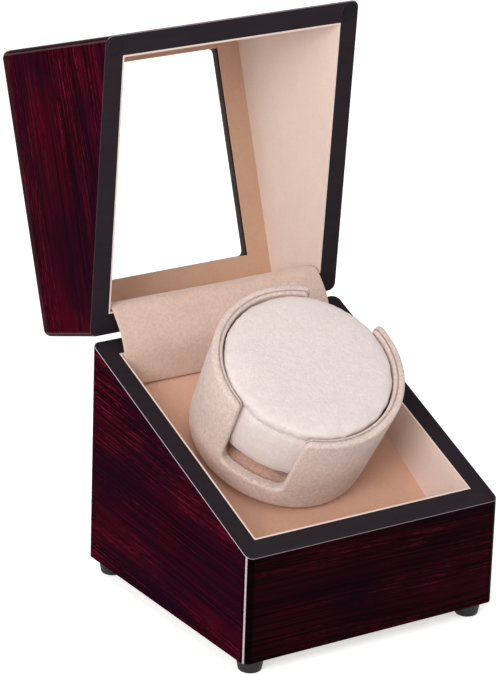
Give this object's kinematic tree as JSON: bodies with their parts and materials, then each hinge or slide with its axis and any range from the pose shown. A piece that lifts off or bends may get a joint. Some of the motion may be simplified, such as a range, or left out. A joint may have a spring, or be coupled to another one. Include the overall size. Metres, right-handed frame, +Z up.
{
  "type": "watch winder",
  "caption": "Lidded watch winder box of glossy striped wood: glass window in the hinged lid, suede lining, a tilted turning cup with a round cushion, rubber feet, knob and power inlet behind.",
  "frame": {"origin": "on the floor under the feet, at the middle of the open winder's bounding box", "axes": "+Z up, front of the case towards -Y, the lid opened towards +Y, +X to the right seen from the front"},
  "size_m": [0.13, 0.2114, 0.2493],
  "materials": {
    "case_wood": "gloss",
    "inner_wood": "matte",
    "suede": "matte",
    "flap_suede": "matte",
    "cup_suede": "matte",
    "cushion_plush": "matte",
    "glass": "gloss",
    "foot_rubber": "matte",
    "hinge_brass": "satin",
    "gear_plastic": "satin",
    "gearbox_plastic": "matte",
    "control_plastic": "satin",
    "steel": "satin",
    "terminal_brass": "satin",
    "board": "satin"
  },
  "bodies": {
    "case": {"case_left_panel": "case_wood", "case_right_panel": "case_wood", "case_front_panel": "case_wood", "case_back_panel": "case_wood", "case_base": "inner_wood", "deck_board": "inner_wood", "deck_lining": "suede", "case_lining_left": "suede", "case_lining_right": "suede", "case_lining_front": "suede", "case_lining_back": "suede", "feet": "foot_rubber", "case_hinge_leaves": "hinge_brass", "hinge_pins": "hinge_brass", "case_hinge_screws": "hinge_brass", "spindle_bush": "hinge_brass", "idler_pin": "steel", "gearbox_cover": "gearbox_plastic", "gearbox_tray": "gearbox_plastic", "gearbox_screws": "steel", "motor_can": "steel", "motor_cap": "gearbox_plastic", "motor_terminals": "terminal_brass", "motor_screws": "steel", "control_plate": "control_plastic", "plate_screws": "steel", "mode_switch": "control_plastic", "power_inlet": "control_plastic", "control_board": "board", "hinge_flap": "flap_suede"},
    "lid": {"lid_left_panel": "case_wood", "lid_right_panel": "case_wood", "lid_front_panel": "case_wood", "lid_back_panel": "case_wood", "lid_top_frame": "case_wood", "window_glass": "glass", "lid_lining_top": "suede", "lid_lining_left": "suede", "lid_lining_right": "suede", "lid_lining_front": "suede", "lid_lining_back": "suede", "lid_hinge_leaves": "hinge_brass", "lid_hinge_screws": "hinge_brass", "lid_bumpers": "foot_rubber"},
    "cup": {"cup_shell": "cup_suede", "cup_hub": "gear_plastic", "cup_floor_pad": "cup_suede", "hub_screw": "steel", "spindle": "steel", "spindle_gear": "gear_plastic"},
    "cushion": {"cushion": "cushion_plush"},
    "idler": {"idler_gear": "gear_plastic"},
    "rotor": {"motor_shaft": "steel", "motor_pinion": "gear_plastic"},
    "knob": {"mode_knob": "control_plastic"}
  },
  "joints": [
    {"name": "lid_hinge", "type": "hinge", "parent": "case", "child": "lid", "pos_m": [0, 0.0244, 0.10913], "axis": [1, 0, 0], "range_deg": [0, 108.6], "deforming": ["hinge_flap"]},
    {"name": "cup_spin", "type": "hinge", "parent": "case", "child": "cup", "pos_m": [0, -0.02564, 0.0666], "axis": [0, -0.4924, 0.8704], "continuous": true},
    {"name": "cushion_lift", "type": "slide", "parent": "cup", "child": "cushion", "axis": [0, -0.4924, 0.8704], "range_m": [0, 0.012]},
    {"name": "idler_spin", "type": "hinge", "parent": "case", "child": "idler", "pos_m": [0.0208, -0.02564, 0.0666], "axis": [0, -0.4924, 0.8704], "continuous": true},
    {"name": "motor_spin", "type": "hinge", "parent": "case", "child": "rotor", "pos_m": [0.04, -0.02564, 0.0666], "axis": [0, -0.4924, 0.8704], "continuous": true},
    {"name": "mode_knob_turn", "type": "hinge", "parent": "case", "child": "knob", "pos_m": [-0.016, 0.02326, 0.041], "axis": [0, 1, 0], "range_deg": [-60, 60]}
  ],
  "couplings": [
    {"joint": "idler_spin", "follows": "cup_spin", "ratio": -3.3333},
    {"joint": "motor_spin", "follows": "cup_spin", "ratio": 10}
  ]
}
